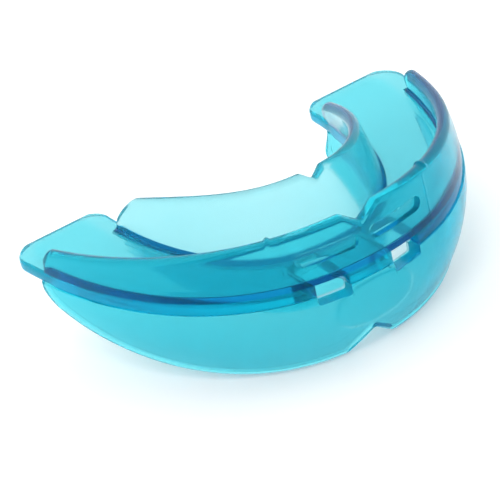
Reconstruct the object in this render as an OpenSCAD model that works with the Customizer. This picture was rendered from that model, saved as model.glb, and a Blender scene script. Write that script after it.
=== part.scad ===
// Double mouthguard: a U-shaped bite plate that carries four soft walls. An outer and an inner wall
// stand on the plate and make the channel for the upper teeth. A matching pair hangs under it for
// the lower teeth. Each wall has a key along its foot, bonded into a groove in the plate. Between the
// walls the plate carries a raised floor on both sides, which the teeth bite on.
//
// Frame: +Z points at the upper jaw, the front of the mouth is towards -Y and X runs across. The
// origin is on the midline and on the upper bite floor, where the front teeth bite.

/* [Arch] */
// Half of the guard's width, across the back of the arch
half_width = 32.5; // [29:0.5:35]
// From the plate's front edge back to the widest place of the arch
arch_depth = 45; // [44:0.5:48]
// Squareness of the outer curve, where 2 is an ellipse
outer_power = 2.2; // [2:0.05:2.6]
// Half of the width between the inner walls' tooth sides
inner_half_width = 19.2; // [18:0.2:20.4]
// From the plate's front edge back to the inner walls' tooth side
channel_depth = 9; // [8:0.25:10]
// Squareness of the inner curve
inner_power = 2.4; // [2:0.05:2.6]
// From the plate's front edge back to the origin
bite_y = 4.5; // [3:0.25:6]

/* [Bite plate] */
// Thickness of the plate, down to the seam of the lower walls
plate_t = 2; // [1.8:0.1:3]
// Height of the bite floors above the seats of the walls
floor_step = 0.2; // [0.1:0.05:0.3]
// From the plate's front edge to its back ends
plate_length = 43.4; // [41:0.2:43.6]
// Radius of the outer corners at the back ends
outer_corner_r = 4; // [2:0.5:5]
// Radius of the inner corners at the back ends
inner_corner_r = 3; // [1:0.5:4]

/* [Walls] */
// Thickness of the outer walls
outer_wall_t = 2; // [1.6:0.1:2.2]
// Thickness of the inner walls
inner_wall_t = 1.8; // [1.5:0.1:2.2]
// Height of the upper outer wall at the front, above its seat
upper_outer_h = 8.7; // [7:0.1:10]
// Height of the upper inner wall at the front, above its seat
upper_inner_h = 10.5; // [8:0.1:11]
// Depth of the lower outer wall at the front, below the plate
lower_outer_h = 13; // [11:0.5:15]
// Depth of the lower inner wall at the front, below the plate
lower_inner_h = 8; // [7:0.25:9]
// How far the lower outer wall stands proud of the plate's edge
seam_step = 0.2; // [0.05:0.05:0.3]
// Width of the key along a wall's foot
key_w = 0.8; // [0.6:0.1:1]
// Depth of the key and its groove
key_d = 0.5; // [0.3:0.1:0.7]

/* [Front details] */
// From the midline to the near side of each breathing window
window_near = 3.6; // [3:0.1:5]
// Width of a breathing window
window_w = 4.9; // [3:0.1:6]
// How far a window cuts down into the lower outer wall
window_drop = 1.4; // [0.5:0.1:2]
// Half of the width of the notch in the upper outer rim
upper_notch_half = 2.7; // [1.5:0.1:3.5]
// Depth of the notch in the upper outer rim
upper_notch_d = 2; // [0.5:0.1:3]
// Half of the width of the notch in the lower outer rim
lower_notch_half = 4.1; // [2:0.1:5]
// Depth of the notch in the lower outer rim
lower_notch_d = 3.1; // [1:0.1:5]
// Half of the width of the notch in the upper inner rim
inner_notch_half = 1.8; // [1:0.1:2.5]
// Depth of the notch in the upper inner rim
inner_notch_d = 1.3; // [0.5:0.1:2]
// From the midline to the near end of each grip recess
recess_near = 1; // [0.8:0.1:2]
// Length of a grip recess
recess_len = 9.4; // [6:0.2:11]
// Width of a grip recess
recess_w = 2; // [1.4:0.1:2.4]
// Height of a grip recess's middle above the bite floor
recess_z = 4.3; // [3:0.1:5]
// Depth of a grip recess
recess_d = 0.8; // [0.3:0.1:0.9]

/* [Smoothness] */
// Steps along each half of a wall
steps = 26; // [16:1:32]
// Steps up each face of a wall
rises = 4; // [3:1:5]

/* [Hidden] */
front_y = -bite_y;
centre_y = front_y + arch_depth;
back_y = front_y + plate_length;
outer_arch = [half_width, arch_depth, outer_power];
inner_front_y = front_y + channel_depth;
inner_arch = [inner_half_width, arch_depth - channel_depth, inner_power];
// Where the walls end, counted forwards from the plate's back ends
upper_outer_end_y = back_y - 8.4;
upper_inner_end_y = back_y - 6.9;
lower_outer_end_y = back_y - 7.5;
lower_inner_end_y = back_y - 5.9;
// A wall's end keeps this height, so that the round of its rim still fits
end_h = (outer_wall_t + seam_step) / 2 + 0.3;
seat_z = -floor_step;
// How each rim falls behind its front, as [mm per mm, mm per mm squared]
upper_outer_fall = [0.169, -0.0003];
upper_inner_fall = [0.12, 0.0045];
lower_outer_fall = [0.02, 0.0076];
lower_inner_fall = [0.12, 0.001];
// How far each rim leans inwards. The upper outer rim's lean changes behind its front, as its fall does.
upper_outer_lean = [0.078, -0.0018];
upper_inner_lean = 1.9;
lower_outer_lean = 4.8;
lower_inner_lean = 1.5;
// How the lean grows with height: 1 is a straight slope, and more keeps the foot upright
outer_lean_power = 1.5;
inner_lean_power = 1.3;
lower_outer_lean_power = 2;
// Length over which each rim rounds off before its ends
upper_outer_end_r = 1.5;
upper_inner_end_r = 4;
lower_outer_end_r = 3;
lower_inner_end_r = 1.5;
// How far the edge of a bite floor stays off the outer wall, the inner wall and the plate's back
floor_outer_gap = 0.4;
floor_inner_gap = 0.3;
floor_back_gap = 0.6;
rim_steps = 6;
corner_steps = 8;
recess_r = recess_w / 2;
slot_start_y = front_y - 3;
slot_end_y = inner_front_y - 0.5;
cut = 0.01;

// An arch is [half width, depth, power]: half of a superellipse about [0, centre_y]. Its angles run
// from the midline at the front and are positive towards +X.
function arch_radius(arch, angle) =
    pow(pow(abs(sin(angle)) / arch[0], arch[2]) + pow(cos(angle) / arch[1], arch[2]), -1 / arch[2]);

function arch_point(arch, angle) =
    let (r = arch_radius(arch, angle))
    [r * sin(angle), centre_y - r * cos(angle)];

// Unit normal of an arch, pointing out of the mouth
function arch_normal(arch, angle) =
    let (p = arch_point(arch, angle))
    let (across = sign(p[0]) * pow(abs(p[0]) / arch[0], arch[2] - 1) / arch[0])
    let (along = -pow((centre_y - p[1]) / arch[1], arch[2] - 1) / arch[1])
    [across, along] / norm([across, along]);

// Point at a distance outwards from an arch
function beside(arch, angle, out) = arch_point(arch, angle) + out * arch_normal(arch, angle);

// Angle at which an arch reaches a given y, on its +X side
function angle_at_y(arch, y) =
    let (back = (centre_y - y) / arch[1])
    atan2(arch[0] * pow(1 - pow(back, arch[2]), 1 / arch[2]), centre_y - y);

// Angle at which an arch reaches a given x
function angle_at_x(arch, x) =
    atan2(x, arch[1] * pow(1 - pow(x / arch[0], arch[2]), 1 / arch[2]));

function reversed(list) = [for (i = [len(list) - 1 : -1 : 0]) list[i]];

// The angles of a wall's sections: the middle and side of its notch, then steps that close up
// towards the wall's end
function wall_angles(arch, end_y, notch_half) =
    let (side = angle_at_x(arch, notch_half))
    let (end = angle_at_y(arch, end_y))
    let (half = [for (i = [0 : steps]) side + (end - side) * sin(90 * i / steps)])
    concat([for (angle = reversed(half)) -angle], [0], half);

// A law given as [mm per mm, mm per mm squared], at a distance behind the front
function law(terms, behind) = terms[0] * behind + terms[1] * behind * behind;

// Height of a wall: it falls from the front by its law, dips at the notch and rounds off over end_r
// before the wall's end
function wall_height(arch, angle, full, fall, notch_half, notch_d, end_y, end_r) =
    let (p = arch_point(arch, angle))
    let (behind = p[1] - centre_y + arch[1])
    let (dip = notch_d * max(0, 1 - abs(p[0]) / notch_half))
    let (past = max(0, p[1] - end_y + end_r) / end_r)
    let (round = sqrt(max(0, 1 - past * past)))
    max(end_h, (full - law(fall, behind) - dip) * round);

// Section of a wall, as [outwards, up] points: the outer face, the round rim, the inner face and the
// key. lean(up) is how far the faces have moved inwards at a height.
function wall_section(height, wall_t, lean, proud = 0) =
    let (thick = wall_t + proud)
    let (straight = height - thick / 2)
    let (key_side = (wall_t - key_w) / 2)
    concat(
        [for (i = [0 : rises])
            let (up = straight * i / rises)
            [proud - lean(up), up]],
        [for (i = [1 : rim_steps - 1])
            let (angle = 180 * i / rim_steps)
            [proud - lean(straight) - thick / 2 * (1 - cos(angle)), straight + thick / 2 * sin(angle)]],
        [for (i = [rises : -1 : 0])
            let (up = straight * i / rises)
            [-wall_t - lean(up), up]],
        [[key_side - wall_t, 0], [key_side - wall_t, -key_d], [-key_side, -key_d], [-key_side, 0]]
    );

// One closed solid through the sections that stand at the given angles of an arch
module sweep(arch, angles, sections) {
    size = len(sections[0]);
    last = len(angles) - 1;
    points = [for (i = [0 : last], s = sections[i])
        let (p = beside(arch, angles[i], s[0]))
        [p[0], p[1], s[1]]];
    sides = [for (i = [0 : last - 1], j = [0 : size - 1])
        let (a = i * size + j)
        let (b = i * size + (j + 1) % size)
        each [[a, b, b + size], [a, b + size, a + size]]];
    start = [for (j = [size - 1 : -1 : 0]) j];
    finish = [for (j = [0 : size - 1]) last * size + j];
    polyhedron(points, concat(sides, [start], [finish]));
}

upper_outer_angles = wall_angles(outer_arch, upper_outer_end_y, upper_notch_half);
upper_inner_angles = wall_angles(inner_arch, upper_inner_end_y, inner_notch_half);
lower_outer_angles = wall_angles(outer_arch, lower_outer_end_y, lower_notch_half);
lower_inner_angles = wall_angles(inner_arch, lower_inner_end_y, inner_notch_half);

// Groove in the plate for the key of a wall this thick, from height z upwards
module groove(arch, angles, wall_t, z) {
    side = (wall_t - key_w) / 2;
    translate([0, 0, z])
        linear_extrude(key_d)
            polygon(concat(
                [for (angle = angles) beside(arch, angle, -side)],
                [for (angle = reversed(angles)) beside(arch, angle, -side - key_w)]));
}

// Quarter circle in corner_steps steps, about [x, y]
function corner(x, y, r, from) =
    [for (i = [0 : corner_steps])
        let (angle = from + 90 * i / corner_steps)
        [x + r * cos(angle), y + r * sin(angle)]];

// Half of a U on the +X side of the midline, from the front round to the inner edge. Its edges lie at
// these distances outwards from the two arches, and it ends at end_y with rounded corners.
function half_outline(outer_out, inner_out, end_y, outer_r, inner_r) =
    let (outer_end = angle_at_y(outer_arch, end_y - outer_r))
    let (inner_end = angle_at_y(inner_arch, end_y - inner_r))
    let (outer_x = beside(outer_arch, outer_end, outer_out)[0])
    let (inner_x = beside(inner_arch, inner_end, inner_out)[0])
    concat(
        [for (i = [0 : steps - 1]) beside(outer_arch, outer_end * i / steps, outer_out)],
        corner(outer_x - outer_r, end_y - outer_r, outer_r, 0),
        corner(inner_x + inner_r, end_y - inner_r, inner_r, 90),
        [for (i = [steps - 1 : -1 : 0]) beside(inner_arch, inner_end * i / steps, inner_out)]
    );

module both_halves(half) {
    inner_half = [for (p = reversed(half)) [-p[0], p[1]]];
    polygon(concat(half, inner_half));
}

// The plate without its bite floors: the walls sit on its rims
module plate_body() {
    translate([0, 0, -plate_t])
        linear_extrude(plate_t - floor_step)
            both_halves(half_outline(0, -inner_wall_t, back_y, outer_corner_r, inner_corner_r));
}

// Flat floor between the walls, which starts inside the plate and ends at bite_z
module bite_floor(bite_z) {
    outer_out = -outer_wall_t - floor_outer_gap;
    translate([0, 0, min(bite_z, -plate_t / 2)])
        linear_extrude(abs(bite_z + plate_t / 2))
            both_halves(half_outline(outer_out, floor_inner_gap, back_y - floor_back_gap,
                outer_corner_r / 2, inner_corner_r / 2));
}

// Slots of the two breathing windows, from the front back to the inner walls
module window_slots() {
    for (x = [window_near, -window_near - window_w])
        translate([x, slot_start_y, -plate_t - window_drop])
            cube([window_w, slot_end_y - slot_start_y, plate_t + window_drop + cut]);
}

// Pill-shaped grip recess on the +X side, following the front of the arch
module grip_recess() {
    centres = [for (i = [0 : 2])
        let (x = recess_near + recess_r + (recess_len - recess_w) * i / 2)
        let (p = beside(outer_arch, angle_at_x(outer_arch, x), recess_r - recess_d))
        [p[0], p[1], recess_z]];
    for (i = [0 : 1])
        hull() {
            translate(centres[i]) sphere(recess_r, $fn = 24);
            translate(centres[i + 1]) sphere(recess_r, $fn = 24);
        }
}

module bite_plate() {
    color("#0f86bd")
        difference() {
            union() {
                plate_body();
                bite_floor(0);
                bite_floor(-plate_t - floor_step);
            }
            groove(outer_arch, upper_outer_angles, outer_wall_t, seat_z - key_d);
            groove(inner_arch, upper_inner_angles, inner_wall_t, seat_z - key_d);
            groove(outer_arch, lower_outer_angles, outer_wall_t, -plate_t);
            groove(inner_arch, lower_inner_angles, inner_wall_t, -plate_t);
            window_slots();
        }
}

module upper_outer_wall() {
    heights = [for (angle = upper_outer_angles)
        wall_height(outer_arch, angle, upper_outer_h, upper_outer_fall,
            upper_notch_half, upper_notch_d, upper_outer_end_y, upper_outer_end_r)];
    sections = [for (i = [0 : len(heights) - 1])
        let (behind = arch_point(outer_arch, upper_outer_angles[i])[1] - front_y)
        let (rim_lean = law(upper_outer_lean, behind))
        wall_section(heights[i], outer_wall_t,
            function (up) rim_lean * pow(up / heights[i], outer_lean_power))];
    color("#47c9dc")
        difference() {
            translate([0, 0, seat_z]) sweep(outer_arch, upper_outer_angles, sections);
            grip_recess();
            mirror([1, 0, 0]) grip_recess();
            window_slots();
        }
}

module upper_inner_wall() {
    heights = [for (angle = upper_inner_angles)
        wall_height(inner_arch, angle, upper_inner_h, upper_inner_fall,
            inner_notch_half, inner_notch_d, upper_inner_end_y, upper_inner_end_r)];
    sections = [for (h = heights)
        wall_section(h, inner_wall_t, function (up) upper_inner_lean * pow(up / h, inner_lean_power))];
    color("#b2ebf4")
        translate([0, 0, seat_z]) sweep(inner_arch, upper_inner_angles, sections);
}

module lower_outer_wall() {
    heights = [for (angle = lower_outer_angles)
        wall_height(outer_arch, angle, lower_outer_h, lower_outer_fall,
            lower_notch_half, lower_notch_d, lower_outer_end_y, lower_outer_end_r)];
    sections = [for (h = heights)
        wall_section(h, outer_wall_t,
            function (up) lower_outer_lean * pow(up / lower_outer_h, lower_outer_lean_power), seam_step)];
    color("#48c3da")
        difference() {
            translate([0, 0, -plate_t]) mirror([0, 0, 1])
                sweep(outer_arch, lower_outer_angles, sections);
            window_slots();
        }
}

module lower_inner_wall() {
    heights = [for (angle = lower_inner_angles)
        wall_height(inner_arch, angle, lower_inner_h, lower_inner_fall,
            inner_notch_half, 0, lower_inner_end_y, lower_inner_end_r)];
    sections = [for (h = heights)
        wall_section(h, inner_wall_t, function (up) lower_inner_lean * pow(up / h, inner_lean_power))];
    color("#7fdbe8")
        translate([0, 0, -plate_t]) mirror([0, 0, 1])
            sweep(inner_arch, lower_inner_angles, sections);
}

bite_plate();
upper_outer_wall();
upper_inner_wall();
lower_outer_wall();
lower_inner_wall();
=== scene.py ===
import math

import bpy
import numpy as np
from mathutils import Matrix, Vector


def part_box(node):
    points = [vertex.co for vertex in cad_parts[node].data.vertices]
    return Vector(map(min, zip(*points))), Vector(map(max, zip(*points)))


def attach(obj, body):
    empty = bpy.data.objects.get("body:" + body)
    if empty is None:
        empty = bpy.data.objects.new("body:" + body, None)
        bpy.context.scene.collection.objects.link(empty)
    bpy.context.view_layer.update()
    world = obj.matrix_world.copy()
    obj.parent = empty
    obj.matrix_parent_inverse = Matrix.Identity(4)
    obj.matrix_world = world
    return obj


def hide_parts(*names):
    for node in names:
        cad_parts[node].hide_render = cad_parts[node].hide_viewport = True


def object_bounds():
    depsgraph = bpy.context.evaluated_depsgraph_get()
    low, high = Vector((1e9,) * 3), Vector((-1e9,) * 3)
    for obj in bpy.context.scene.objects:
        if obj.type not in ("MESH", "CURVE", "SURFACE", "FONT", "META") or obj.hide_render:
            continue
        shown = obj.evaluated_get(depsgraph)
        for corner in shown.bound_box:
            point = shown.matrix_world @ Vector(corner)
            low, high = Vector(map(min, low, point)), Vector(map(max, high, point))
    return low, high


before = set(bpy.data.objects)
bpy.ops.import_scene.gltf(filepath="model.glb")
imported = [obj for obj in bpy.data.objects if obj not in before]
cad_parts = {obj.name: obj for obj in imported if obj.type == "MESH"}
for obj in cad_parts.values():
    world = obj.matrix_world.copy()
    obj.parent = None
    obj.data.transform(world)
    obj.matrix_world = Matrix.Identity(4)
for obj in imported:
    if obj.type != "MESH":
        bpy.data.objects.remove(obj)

# A translucent double mouthguard. Lengths here are in millimetres, and MM turns them into Blender's
# metres. Boxes of the CAD nodes give the overall sizes; the named values below are the shapes'
# curves, which follow the CAD model's own formulas.
MM = 0.001
cad_low, cad_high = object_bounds()


def box_mm(node):
    low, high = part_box(node)
    return np.array(low) / MM, np.array(high) / MM


plate_low, plate_high = box_mm("bite_plate")
FRONT_Y = plate_low[1]
BACK_Y = plate_high[1]
FLOOR_STEP = 0.2
PLATE_BOTTOM = plate_low[2] + FLOOR_STEP
SEAT_Z = plate_high[2] - FLOOR_STEP

# Curves of the two arches, as in the CAD model
HALF_WIDTH = 32.5
ARCH_DEPTH = 45.0
OUTER_POWER = 2.2
INNER_HALF_WIDTH = 19.2
CHANNEL_DEPTH = 9.0
INNER_POWER = 2.4
CENTRE_Y = FRONT_Y + ARCH_DEPTH

# Each wall's height at the front, how it falls behind that as (mm per mm, mm per mm squared), how far
# short of the back it ends, and the length over which its rim rounds off there
UPPER_OUTER_H, UPPER_OUTER_FALL, UPPER_OUTER_SHORT, UPPER_OUTER_END = 8.7, (0.169, -0.0003), 8.4, 1.5
UPPER_INNER_H, UPPER_INNER_FALL, UPPER_INNER_SHORT, UPPER_INNER_END = 10.5, (0.12, 0.0045), 6.9, 4.0
LOWER_OUTER_H, LOWER_OUTER_FALL, LOWER_OUTER_SHORT, LOWER_OUTER_END = 13.0, (0.02, 0.0076), 7.5, 3.0
LOWER_INNER_H, LOWER_INNER_FALL, LOWER_INNER_SHORT, LOWER_INNER_END = 8.0, (0.12, 0.001), 5.9, 1.5

# How far each rim leans inwards, and the power that the lean grows with over the height
UPPER_OUTER_LEAN, OUTER_LEAN_POWER = (0.078, -0.0018), 1.5
UPPER_INNER_LEAN, LOWER_INNER_LEAN, INNER_LEAN_POWER = 1.9, 1.5, 1.3
LOWER_OUTER_LEAN, LOWER_OUTER_LEAN_POWER = 4.8, 2

# V notches, as (half width, depth, rounding)
UPPER_NOTCH = (2.7, 2.0, 0.15)
INNER_NOTCH = (1.8, 1.3, 0.12)
LOWER_NOTCH = (4.1, 3.1, 0.2)

OUTER_WALL_T = 2.0
INNER_WALL_T = 1.8
SEAM_STEP = 0.2
FILLET = 0.4
BOND_GAP = 0.01
END_ROUND = 0.9

OUTER_CORNER = 4.0
INNER_CORNER = 3.0
EDGE_ROUND = 0.55
SHARP_EDGE = 0.06
# Lengths of the plate's ends that no wall stands on, and the points in a section's corner and floor
FREE_END, FREE_INNER_END = 8.5, 7
ARC_COUNT, MIDDLE_COUNT = 7, 14

WINDOW_NEAR = 3.6
WINDOW_W = 4.9
WINDOW_DROP = 1.4
WINDOW_ROUND = 0.35

RECESS_NEAR = 1.0
RECESS_LEN = 9.4
RECESS_R = 1.0
RECESS_Z = 4.3
RECESS_D = 0.8

PIP_X, PIP_R, PIP_H = 13.3, 0.5, 0.35
MOULD_LINE_X, MOULD_LINE_R, MOULD_LINE_H = 12.0, 0.18, 0.07
PAD_HALF, PAD_HALF_H, PAD_MID = 6.3, 3.7, 4.2
PAD_H, PAD_SHARP = 0.25, 60


class Arch:
    """Half of a superellipse about (0, CENTRE_Y). Angles run from the midline, positive to +X."""

    def __init__(self, half_width, depth, power):
        self.a, self.b, self.n = half_width, depth, power

    def point(self, angle):
        across = np.abs(np.sin(angle)) / self.a
        along = np.cos(angle) / self.b
        r = (across**self.n + along**self.n) ** (-1 / self.n)
        return np.stack([r * np.sin(angle), CENTRE_Y - r * np.cos(angle)], -1)

    def normal(self, angle):
        p = self.point(angle)
        across = np.sign(p[..., 0]) * (np.abs(p[..., 0]) / self.a) ** (self.n - 1) / self.a
        along = -(((CENTRE_Y - p[..., 1]) / self.b) ** (self.n - 1)) / self.b
        n = np.stack([across, along], -1)
        return n / np.linalg.norm(n, axis=-1, keepdims=True)

    def beside(self, angle, out):
        return self.point(angle) + np.asarray(out)[..., None] * self.normal(angle)

    def angle_at_y(self, y):
        back = (CENTRE_Y - y) / self.b
        return math.atan2(self.a * (1 - back**self.n) ** (1 / self.n), CENTRE_Y - y)

    def angle_at_x(self, x):
        return math.atan2(x, self.b * (1 - (abs(x) / self.a) ** self.n) ** (1 / self.n))


outer_arch = Arch(HALF_WIDTH, ARCH_DEPTH, OUTER_POWER)
inner_arch = Arch(INNER_HALF_WIDTH, ARCH_DEPTH - CHANNEL_DEPTH, INNER_POWER)


# ---- materials ----

def new_material(name):
    material = bpy.data.materials.new(name)
    material.use_nodes = True
    nodes = material.node_tree.nodes
    nodes.clear()
    return material, nodes, material.node_tree.links


def absorb(nodes, links, output, colour, per_mm):
    """Light dies away inside the plastic: most of the red and little of the blue."""
    volume = nodes.new("ShaderNodeVolumeAbsorption")
    volume.inputs["Color"].default_value = (*colour, 1)
    volume.inputs["Density"].default_value = per_mm / MM
    links.new(volume.outputs["Volume"], output.inputs["Volume"])


def noise(nodes, links, coords, per_mm, detail):
    node = nodes.new("ShaderNodeTexNoise")
    node.inputs["Scale"].default_value = per_mm / MM
    node.inputs["Detail"].default_value = detail
    links.new(coords, node.inputs["Vector"])
    return node.outputs["Fac"]


def spread(nodes, links, value, low, high):
    node = nodes.new("ShaderNodeMapRange")
    node.inputs["From Min"].default_value = 0.3
    node.inputs["From Max"].default_value = 0.7
    node.inputs["To Min"].default_value = low
    node.inputs["To Max"].default_value = high
    links.new(value, node.inputs["Value"])
    return node.outputs["Result"]


def plastic(name, tint, roughness, colour, per_mm):
    """Soft, slightly frosted, translucent plastic with a moulded surface."""
    material, nodes, links = new_material(name)
    output = nodes.new("ShaderNodeOutputMaterial")
    surface = nodes.new("ShaderNodeBsdfPrincipled")
    coords = nodes.new("ShaderNodeTexCoord").outputs["Object"]
    surface.inputs["Base Color"].default_value = (*tint, 1)
    surface.inputs["Transmission Weight"].default_value = 1
    surface.inputs["IOR"].default_value = 1.38
    surface.inputs["Specular Tint"].default_value = (*SHEEN, 1)
    links.new(
        spread(nodes, links, noise(nodes, links, coords, 0.25, 3), roughness * 0.7, roughness * 1.3),
        surface.inputs["Roughness"],
    )
    grain = nodes.new("ShaderNodeBump")
    grain.inputs["Strength"].default_value = 0.12
    grain.inputs["Distance"].default_value = 0.02 * MM
    links.new(noise(nodes, links, coords, 4, 2), grain.inputs["Height"])
    flow = nodes.new("ShaderNodeBump")
    flow.inputs["Strength"].default_value = 0.5
    flow.inputs["Distance"].default_value = 0.15 * MM
    links.new(noise(nodes, links, coords, 0.12, 1), flow.inputs["Height"])
    links.new(flow.outputs["Normal"], grain.inputs["Normal"])
    links.new(grain.outputs["Normal"], surface.inputs["Normal"])
    milk = nodes.new("ShaderNodeBsdfTranslucent")
    milk.inputs["Color"].default_value = (*MILK, 1)
    links.new(grain.outputs["Normal"], milk.inputs["Normal"])
    blend = nodes.new("ShaderNodeMixShader")
    blend.inputs["Fac"].default_value = MILK_SHARE
    links.new(surface.outputs["BSDF"], blend.inputs[1])
    links.new(milk.outputs["BSDF"], blend.inputs[2])
    links.new(blend.outputs["Shader"], output.inputs["Surface"])
    absorb(nodes, links, output, colour, per_mm)
    return material


def bond(name, colour, per_mm):
    """Where two pieces are moulded together, light passes from one to the other unbent."""
    material, nodes, links = new_material(name)
    output = nodes.new("ShaderNodeOutputMaterial")
    clear = nodes.new("ShaderNodeBsdfTransparent")
    links.new(clear.outputs["BSDF"], output.inputs["Surface"])
    absorb(nodes, links, output, colour, per_mm)
    return material


MILK = (0.3, 0.84, 0.92)
MILK_SHARE = 0.16
CYAN = (0.02, 0.93, 0.979)
DENSITY = 0.76
PLATE_DENSITY = 0.58
INNER_DENSITY = 0.36
TINT = (0.8, 0.89, 0.91)
INNER_TINT = (0.88, 0.88, 0.89)
PLATE_TINT = (0.74, 0.76, 0.78)
SHEEN = (0.12, 0.78, 1.0)
outer_plastic = plastic("outer_wall_plastic", TINT, 0.12, CYAN, DENSITY)
outer_bond = bond("outer_wall_bond", CYAN, DENSITY)
inner_plastic = plastic("inner_wall_plastic", INNER_TINT, 0.12, CYAN, INNER_DENSITY)
inner_bond = bond("inner_wall_bond", CYAN, INNER_DENSITY)
plate_plastic = plastic("firm_plate_plastic", PLATE_TINT, 0.10, CYAN, PLATE_DENSITY)
plate_bond = bond("firm_plate_bond", CYAN, PLATE_DENSITY)
SKIN, BOND = 0, 1


# ---- meshes ----

def build(name, points, faces, materials, marks=None):
    """A closed, smooth-shaded mesh object from points in millimetres. marks gives each face's slot."""
    mesh = bpy.data.meshes.new(name)
    mesh.from_pydata((np.asarray(points) * MM).tolist(), [], faces)
    for material in materials:
        mesh.materials.append(material)
    if marks is not None:
        mesh.polygons.foreach_set("material_index", np.asarray(marks, dtype=np.int32))
    mesh.polygons.foreach_set("use_smooth", np.ones(len(mesh.polygons), dtype=bool))
    mesh.set_sharp_from_angle(angle=math.radians(38))
    mesh.update()
    piece = bpy.data.objects.new(name, mesh)
    bpy.context.collection.objects.link(piece)
    return piece


def grid_solid(rings, ring_marks, flip):
    """Faces that join equal closed rings of points into one solid, with a cap at each end."""
    count, size = rings.shape[0], rings.shape[1]
    a = np.arange(count - 1)[:, None] * size + np.arange(size)[None, :]
    b = np.arange(count - 1)[:, None] * size + (np.arange(size)[None, :] + 1) % size
    quads = np.stack([a, b, b + size, a + size], -1).reshape(-1, 4)
    marks = np.tile(ring_marks, count - 1)
    start = list(range(size))
    finish = [(count - 1) * size + i for i in range(size)]
    if flip:
        faces = quads.tolist() + [start[::-1], finish]
    else:
        faces = quads[:, ::-1].tolist() + [start, finish[::-1]]
    return faces, np.concatenate([marks, [SKIN, SKIN]])


def stations(arch, end_y, fine_to, fine_step, coarse_step, extra=()):
    """Angles along an arch: fine steps out to x = fine_to, coarser beyond, close at the end."""
    end = arch.angle_at_y(end_y)
    dense = np.linspace(0, 1, 2000)
    path = arch.point(dense * end)
    run = np.concatenate([[0], np.cumsum(np.linalg.norm(np.diff(path, axis=0), axis=1))])
    total = run[-1]
    fine = run[np.searchsorted(path[:, 0], fine_to)] if fine_to > 0 else 0
    marks = list(np.arange(0, fine, fine_step)) + list(np.arange(fine, total - 3, coarse_step))
    tail = total - 3 * (1 - np.sin(np.linspace(0, math.pi / 2, 22)))
    added = [run[np.searchsorted(path[:, 0], x)] for x in extra]
    s = np.unique(np.round(np.concatenate([marks, tail, added]), 4))
    s[-1] = total
    half = np.interp(s, run, dense) * end
    angles = np.concatenate([-half[:0:-1], half])
    left = np.interp(np.abs(angles), dense * end, total - run)
    return angles, left


def soft_notch(x, half, depth, round_x):
    """A V notch of this depth with softened corners."""
    u = np.sqrt(x * x + round_x**2) - round_x
    share = 1 - u / half
    soft = 0.06
    return depth * 0.5 * (share + np.sqrt(share**2 + soft**2))


def end_share(left, length):
    """Rises from 0 at a wall's end to 1 at this distance from it, as a quarter circle does."""
    past = np.clip(1 - left / length, 0, 1)
    return np.sqrt(np.clip(1 - past**2, 0, 1))


def wall(name, arch, wall_t, angles, left, height, lean, proud=0.0, foot=None, dent=None,
         fillet_out=0.0, fillet_in=0.0, down=False, rise_count=26, end_r=3.0):
    """One wall: sections of outer face, round rim, inner face and foot, along an arch.

    height is each station's full height and lean(i, up) the inward shift of both faces. foot lifts
    the bottom of a station, dent(p, up) sinks the outer face, and down hangs the wall under the
    plate.
    """
    rim_count, foot_count = 14, 5
    rings = []
    least = 0.04
    for i, angle in enumerate(angles):
        thick = (wall_t + proud) * max(end_share(left[i], END_ROUND), least)
        shrink = (wall_t + proud - thick) / 2
        base = 0.0 if foot is None else foot[i]
        h = max(height[i] * end_share(left[i], end_r), base + thick / 2 + 0.05)
        straight = h - thick / 2
        up = base + (straight - base) * np.linspace(0, 1, rise_count)
        shift = lean(i, up)
        face_out = proud - shrink - shift
        face_in = proud - shrink - thick - shift
        if fillet_out > 0:
            face_out = face_out + fillet_curve(up - base, fillet_out)
        if fillet_in > 0:
            face_in = face_in - fillet_curve(up - base, fillet_in)
        if dent is not None:
            face_out = face_out - dent(arch.point(angle)[0], up)
        turn = np.linspace(0, math.pi, rim_count + 2)[1:-1]
        top = lean(i, np.array([straight]))[0]
        rim_out = proud - shrink - top - thick / 2 * (1 - np.cos(turn))
        rim_up = straight + thick / 2 * np.sin(turn)
        across = np.linspace(face_in[0], face_out[0], foot_count + 2)[1:-1]
        out = np.concatenate([face_out, rim_out, face_in[::-1], across])
        high = np.concatenate([up, rim_up, up[::-1], np.full(foot_count, base)])
        xy = arch.beside(np.full(len(out), angle), out)
        z = PLATE_BOTTOM - BOND_GAP - high if down else SEAT_Z + BOND_GAP + high
        rings.append(np.column_stack([xy, z]))
    rings = np.array(rings)
    size = rings.shape[1]
    ring_marks = np.zeros(size, dtype=int)
    if not down:
        ring_marks[size - foot_count - 1:] = BOND
    faces, marks = grid_solid(rings, ring_marks, flip=down)
    pale = arch is inner_arch and not down
    looks = [inner_plastic, inner_bond] if pale else [outer_plastic, outer_bond]
    return build(name, rings.reshape(-1, 3), faces, looks, marks)


def fillet_curve(up, r):
    """How far a fillet of radius r stands out from a wall at a height above its foot."""
    inside = np.clip(r - up, 0, r)
    return r - np.sqrt(r * r - inside * inside)


def behind(arch, angles):
    return arch.point(angles)[:, 1] - (CENTRE_Y - arch.b)


def law(terms, b):
    return terms[0] * b + terms[1] * b * b


def grow(share, power):
    return np.clip(share, 0, None) ** power


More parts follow.
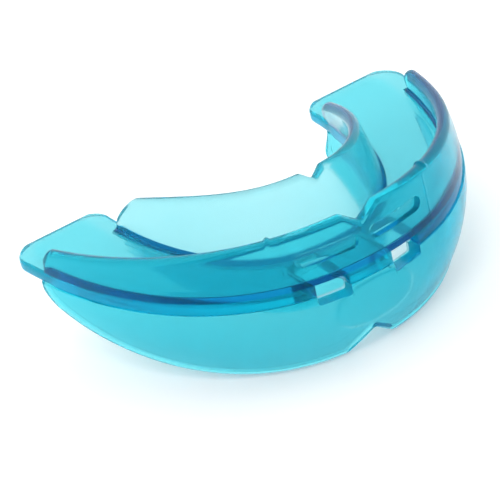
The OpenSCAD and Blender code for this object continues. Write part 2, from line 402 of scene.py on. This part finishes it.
def upper_outer_wall():
    angles, left = stations(outer_arch, BACK_Y - UPPER_OUTER_SHORT, 14.5, 0.14, 0.45)
    b = behind(outer_arch, angles)
    x = outer_arch.point(angles)[:, 0]
    full = UPPER_OUTER_H - law(UPPER_OUTER_FALL, b)
    height = full - soft_notch(x, *UPPER_NOTCH) + PIP_H * bump(np.abs(x) - PIP_X, PIP_R)
    rim_lean = law(UPPER_OUTER_LEAN, b)

    def lean(i, up):
        return rim_lean[i] * grow(up / full[i], OUTER_LEAN_POWER)

    def dent(px, up):
        along = np.clip(abs(px), RECESS_NEAR + RECESS_R, RECESS_NEAR + RECESS_LEN - RECESS_R)
        gap = np.hypot(abs(px) - along, up - RECESS_Z) / RECESS_R
        recess = RECESS_D * np.clip(1 - gap**10, 0, 1) ** 0.5
        return recess - MOULD_LINE_H * bump(np.abs(px) - MOULD_LINE_X, MOULD_LINE_R)

    return wall("upper_outer_wall_shell", outer_arch, OUTER_WALL_T, angles, left, height, lean,
                dent=dent, fillet_in=FILLET, rise_count=64, end_r=UPPER_OUTER_END)


def upper_inner_wall():
    angles, left = stations(inner_arch, BACK_Y - UPPER_INNER_SHORT, 3, 0.12, 0.4)
    b = behind(inner_arch, angles)
    x = inner_arch.point(angles)[:, 0]
    full = UPPER_INNER_H - law(UPPER_INNER_FALL, b)
    height = full - soft_notch(x, *INNER_NOTCH)

    def lean(i, up):
        return UPPER_INNER_LEAN * grow(up / full[i], INNER_LEAN_POWER)

    return wall("upper_inner_wall_shell", inner_arch, INNER_WALL_T, angles, left, height, lean,
                fillet_out=FILLET, end_r=UPPER_INNER_END)


def lower_outer_wall():
    window_far = WINDOW_NEAR + WINDOW_W
    sides = [WINDOW_NEAR - 0.02, WINDOW_NEAR, window_far, window_far + 0.02]
    end_y = BACK_Y - LOWER_OUTER_SHORT
    angles, left = stations(outer_arch, end_y, 10, 0.14, 0.45, extra=sides)
    b = behind(outer_arch, angles)
    x = outer_arch.point(angles)[:, 0]
    full = LOWER_OUTER_H - law(LOWER_OUTER_FALL, b)
    height = full - soft_notch(x, *LOWER_NOTCH)
    inside = np.minimum(np.abs(x) - WINDOW_NEAR, window_far - np.abs(x))
    arris = fillet_curve(np.clip(inside, 0, None), WINDOW_ROUND)
    foot = np.where(inside > -0.005, WINDOW_DROP - arris, 0.0)

    def lean(i, up):
        return LOWER_OUTER_LEAN * grow(up / LOWER_OUTER_H, LOWER_OUTER_LEAN_POWER)

    def dent(px, up):
        """A shallow pad on the front: wide and square at the top, drawn in to a round foot."""
        across = np.abs(px) / PAD_HALF
        upward = (up - PAD_MID) / PAD_HALF_H
        edge = (across**2.4 + np.abs(upward) ** 2.4) ** (1 / 2.4) - 1
        return -PAD_H / (1 + np.exp(np.clip(edge * PAD_SHARP, -40, 40)))

    return wall("lower_outer_wall_shell", outer_arch, OUTER_WALL_T, angles, left, height, lean,
                proud=SEAM_STEP, foot=foot, dent=dent, fillet_in=FILLET, down=True, rise_count=64,
                end_r=LOWER_OUTER_END)


def lower_inner_wall():
    angles, left = stations(inner_arch, BACK_Y - LOWER_INNER_SHORT, 3, 0.3, 0.4)
    b = behind(inner_arch, angles)
    full = LOWER_INNER_H - law(LOWER_INNER_FALL, b)

    def lean(i, up):
        return LOWER_INNER_LEAN * grow(up / full[i], INNER_LEAN_POWER)

    return wall("lower_inner_wall_shell", inner_arch, INNER_WALL_T, angles, left, full, lean,
                fillet_out=FILLET, down=True, end_r=LOWER_INNER_END)


def bump(away, r):
    """A smooth bump of height 1 that is r wide on each side."""
    return np.clip(1 - (away / r) ** 2, 0, None) ** 1.5


def plate_end(last, side):
    """The four lines of a flat back end with rounded corners, going on from the arches' last points."""
    tail = np.sin(np.linspace(0, math.pi / 2, 34))[1:]
    outer_x, inner_x = abs(last[0][0]), abs(last[3][0])
    y = BACK_Y - OUTER_CORNER + OUTER_CORNER * tail
    past_out = np.clip(y - (BACK_Y - OUTER_CORNER), 0, None)
    past_in = np.clip(y - (BACK_Y - INNER_CORNER), 0, None)
    x_out = outer_x - OUTER_CORNER + np.sqrt(np.clip(OUTER_CORNER**2 - past_out**2, 0, None))
    x_in = inner_x + INNER_CORNER - np.sqrt(np.clip(INNER_CORNER**2 - past_in**2, 0, None))
    width = x_out - x_in
    outer_strip = width * abs(last[1][0] - last[0][0]) / (outer_x - inner_x)
    inner_strip = width * abs(last[2][0] - last[3][0]) / (outer_x - inner_x)
    across = (x_out, x_out - outer_strip, x_in + inner_strip, x_in)
    return [np.stack([side * x, y], -1) for x in across]


def plate_rows():
    """Outer edge, outer wall's inside, inner wall's channel side and inner edge, from end to end."""
    outer_end = outer_arch.angle_at_y(BACK_Y - OUTER_CORNER)
    inner_end = inner_arch.angle_at_y(BACK_Y - OUTER_CORNER)
    half = np.linspace(0, 1, 150)
    share = np.concatenate([-half[:0:-1], half])
    o_angle, i_angle = share * outer_end, share * inner_end
    lines = [
        outer_arch.beside(o_angle, np.zeros(len(share))),
        outer_arch.beside(o_angle, np.full(len(share), -OUTER_WALL_T - FILLET)),
        inner_arch.beside(i_angle, np.full(len(share), FILLET)),
        inner_arch.beside(i_angle, np.full(len(share), -INNER_WALL_T)),
    ]
    left = plate_end([line[0] for line in lines], -1)
    right = plate_end([line[-1] for line in lines], 1)
    return [np.concatenate([left[k][::-1], lines[k], right[k]]) for k in range(4)]


def plate_ring(o, a, b, e):
    """One closed section of the plate, through points on its four lines."""
    furthest = max(o[1], e[1])
    free = ramp((furthest - (BACK_Y - FREE_END)) / 1.5)
    to_end = BACK_Y - furthest
    drop = fillet_curve(np.array([to_end]), EDGE_ROUND)[0] if to_end < EDGE_ROUND else 0.0
    drop = min(drop, (SEAT_Z - PLATE_BOTTOM) / 2 - 0.1)
    top, bottom = SEAT_Z - drop, PLATE_BOTTOM + drop
    raised = FLOOR_STEP * ramp((to_end - 0.3) / 0.5)
    r = min(SHARP_EDGE + (EDGE_ROUND - SHARP_EDGE) * free, (top - bottom) / 2 - 0.02)
    inward = (a - o) / max(np.linalg.norm(a - o), 1e-9)
    outward = (b - e) / max(np.linalg.norm(b - e), 1e-9)
    turn = np.linspace(0, math.pi / 2, ARC_COUNT)

    def corner(start, way, t, z, up):
        return start + way * r * (1 - math.cos(t)), z - up * r + up * r * math.sin(t)

    outer_top = [corner(o, inward, t, top, 1) for t in turn]
    inner_top = [corner(e, outward, t, top, 1) for t in turn[::-1]]
    inner_bot = [corner(e, outward, t, bottom, -1) for t in turn]
    outer_bot = [corner(o, inward, t, bottom, -1) for t in turn[::-1]]
    across = [a + (b - a) * k / MIDDLE_COUNT for k in range(MIDDLE_COUNT + 1)]
    rise = [0] + [raised] * (MIDDLE_COUNT - 1) + [0]
    ring = outer_top + [(p, top + h) for p, h in zip(across, rise)] + inner_top + inner_bot
    ring += [(p, bottom - h) for p, h in zip(across[::-1], rise)] + outer_bot
    return [[p[0], p[1], z] for p, z in ring]


def mark_bonds(rings, marks):
    """The upper walls' feet stand on the plate's two top strips."""
    size = rings.shape[1]
    outer_strip = ARC_COUNT - 1
    inner_strip = ARC_COUNT + MIDDLE_COUNT
    for i in range(len(rings) - 1):
        if rings[i, 0, 1] < BACK_Y - FREE_END:
            marks[i * size + outer_strip] = BOND
        if rings[i, inner_strip + 1, 1] < BACK_Y - FREE_INNER_END:
            marks[i * size + inner_strip] = BOND


def bite_plate():
    """The U-shaped plate. Each section runs from the outer edge over the top to the inner edge."""
    rings = np.array([plate_ring(*points) for points in zip(*plate_rows())])
    faces, marks = grid_solid(rings, np.zeros(rings.shape[1], dtype=int), flip=False)
    mark_bonds(rings, marks)
    looks = [plate_plastic, plate_bond]
    plate = build("bite_plate_shell", rings.reshape(-1, 3), faces, looks, marks)
    cut_windows(plate)
    return plate


def ramp(share):
    share = np.clip(share, 0, 1)
    return share * share * (3 - 2 * share)


def cut_windows(plate):
    """Cuts the two breathing slots, from the front edge back to the inner wall's foot."""
    cutters = []
    for side in (-1, 1):
        near_x = WINDOW_NEAR if side > 0 else -WINDOW_NEAR - WINDOW_W
        near = Vector((near_x, FRONT_Y - 3, PLATE_BOTTOM - 1))
        far = near + Vector((WINDOW_W, CHANNEL_DEPTH - 0.5 + 3, -PLATE_BOTTOM + 2))
        spans = [(near[k], far[k]) for k in range(3)]
        corners = [(x, y, z) for x in spans[0] for y in spans[1] for z in spans[2]]
        quads = [(0, 1, 3, 2), (4, 6, 7, 5), (0, 4, 5, 1), (2, 3, 7, 6), (0, 2, 6, 4), (1, 5, 7, 3)]
        cutter = build(f"slot_cutter_{side + 1}", corners, quads, [plate_plastic])
        tool = plate.modifiers.new("slot", "BOOLEAN")
        tool.operation = "DIFFERENCE"
        tool.solver = "EXACT"
        tool.object = cutter
        cutters.append(cutter)
    graph = bpy.context.evaluated_depsgraph_get()
    shape = bpy.data.meshes.new_from_object(plate.evaluated_get(graph))
    plate.modifiers.clear()
    plate.data = shape
    for cutter in cutters:
        bpy.data.objects.remove(cutter)


pieces = {
    "bite_plate": (bite_plate(), "plate"),
    "upper_outer_wall": (upper_outer_wall(), "outer_wall"),
    "upper_inner_wall": (upper_inner_wall(), "inner_wall"),
    "lower_outer_wall": (lower_outer_wall(), "outer_wall"),
    "lower_inner_wall": (lower_inner_wall(), "inner_wall"),
}
for node, (piece, slot) in pieces.items():
    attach(piece, "root")
    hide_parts(node)


# ---- floor, light and camera ----

# The floor glows a little, so that the guard leaves almost no shadow on it
FLOOR_GLOW = 0.24


def floor_material():
    material, nodes, links = new_material("pale_floor")
    output = nodes.new("ShaderNodeOutputMaterial")
    surface = nodes.new("ShaderNodeBsdfPrincipled")
    surface.inputs["Base Color"].default_value = (0.9, 0.9, 0.9, 1)
    surface.inputs["Roughness"].default_value = 0.9
    surface.inputs["Specular IOR Level"].default_value = 0.1
    surface.inputs["Emission Color"].default_value = (1, 1, 1, 1)
    surface.inputs["Emission Strength"].default_value = FLOOR_GLOW
    links.new(surface.outputs["BSDF"], output.inputs["Surface"])
    return material


def add_floor():
    size = 3.0
    z = cad_low[2] - 0.0002
    mesh = bpy.data.meshes.new("floor")
    corners = [(-size, -size, z), (size, -size, z), (size, size, z), (-size, size, z)]
    mesh.from_pydata(corners, [], [(0, 1, 2, 3)])
    mesh.materials.append(floor_material())
    floor = bpy.data.objects.new("floor", mesh)
    bpy.context.collection.objects.link(floor)


# The room is darker on the camera's side, so that the front of the guard mirrors less white
CAMERA_SIDE = (-0.39, -0.77, 0.5)
DIM_FROM, SKY, DIM_SKY = 0.2, 1.28, 0.32


def add_world():
    world = bpy.data.worlds.new("studio")
    bpy.context.scene.world = world
    world.use_nodes = True
    nodes, links = world.node_tree.nodes, world.node_tree.links
    nodes.clear()
    output = nodes.new("ShaderNodeOutputWorld")
    background = nodes.new("ShaderNodeBackground")
    background.inputs["Color"].default_value = (1.0, 1.0, 1.0, 1)
    direction = nodes.new("ShaderNodeTexCoord").outputs["Generated"]
    toward_camera = nodes.new("ShaderNodeVectorMath")
    toward_camera.operation = "DOT_PRODUCT"
    toward_camera.inputs[1].default_value = CAMERA_SIDE
    links.new(direction, toward_camera.inputs[0])
    fade = nodes.new("ShaderNodeMapRange")
    fade.interpolation_type = "SMOOTHSTEP"
    fade.inputs["From Min"].default_value = DIM_FROM
    fade.inputs["From Max"].default_value = 1.0
    fade.inputs["To Min"].default_value = SKY
    fade.inputs["To Max"].default_value = DIM_SKY
    links.new(toward_camera.outputs["Value"], fade.inputs["Value"])
    links.new(fade.outputs["Result"], background.inputs["Strength"])
    links.new(background.outputs["Background"], output.inputs["Surface"])


def add_area(name, place, size, power, colour):
    light = bpy.data.lights.new(name, "AREA")
    light.shape = "RECTANGLE"
    light.size = size
    light.size_y = size
    light.energy = power
    light.color = colour
    lamp = bpy.data.objects.new(name, light)
    lamp.location = place
    lamp.rotation_euler = (Vector((0, 0.015, 0)) - Vector(place)).to_track_quat("-Z", "Y").to_euler()
    bpy.context.collection.objects.link(lamp)


def add_camera():
    """A long lens from the front left and above, slightly rolled."""
    azimuth, elevation, roll = math.radians(-26.93), math.radians(30.38), math.radians(-12.48)
    aim = Vector((-5.35, 19.41, -5.24)) * MM
    distance = 1004.9 * MM
    back = Vector((
        math.sin(azimuth) * math.cos(elevation),
        -math.cos(azimuth) * math.cos(elevation),
        math.sin(elevation),
    ))
    right = Vector((math.cos(azimuth), math.sin(azimuth), 0))
    up = back.cross(right)
    rolled_right = right * math.cos(roll) + up * math.sin(roll)
    rolled_up = up * math.cos(roll) - right * math.sin(roll)
    data = bpy.data.cameras.new("camera")
    data.lens = 522
    data.sensor_width = 36
    camera = bpy.data.objects.new("camera", data)
    turn = Matrix((rolled_right, rolled_up, back)).transposed().to_4x4()
    camera.matrix_world = Matrix.Translation(aim + back * distance) @ turn
    data.clip_start, data.clip_end = 0.01, 10
    bpy.context.collection.objects.link(camera)
    bpy.context.scene.camera = camera


add_floor()
add_world()
add_area("key", (-0.5, -0.5, 0.9), 0.5, 4, (1, 1, 1))
add_camera()
scene = bpy.context.scene
scene.view_settings.view_transform = "Standard"
scene.cycles.max_bounces = 24
scene.cycles.transmission_bounces = 24
scene.cycles.transparent_max_bounces = 32
scene.cycles.caustics_refractive = True
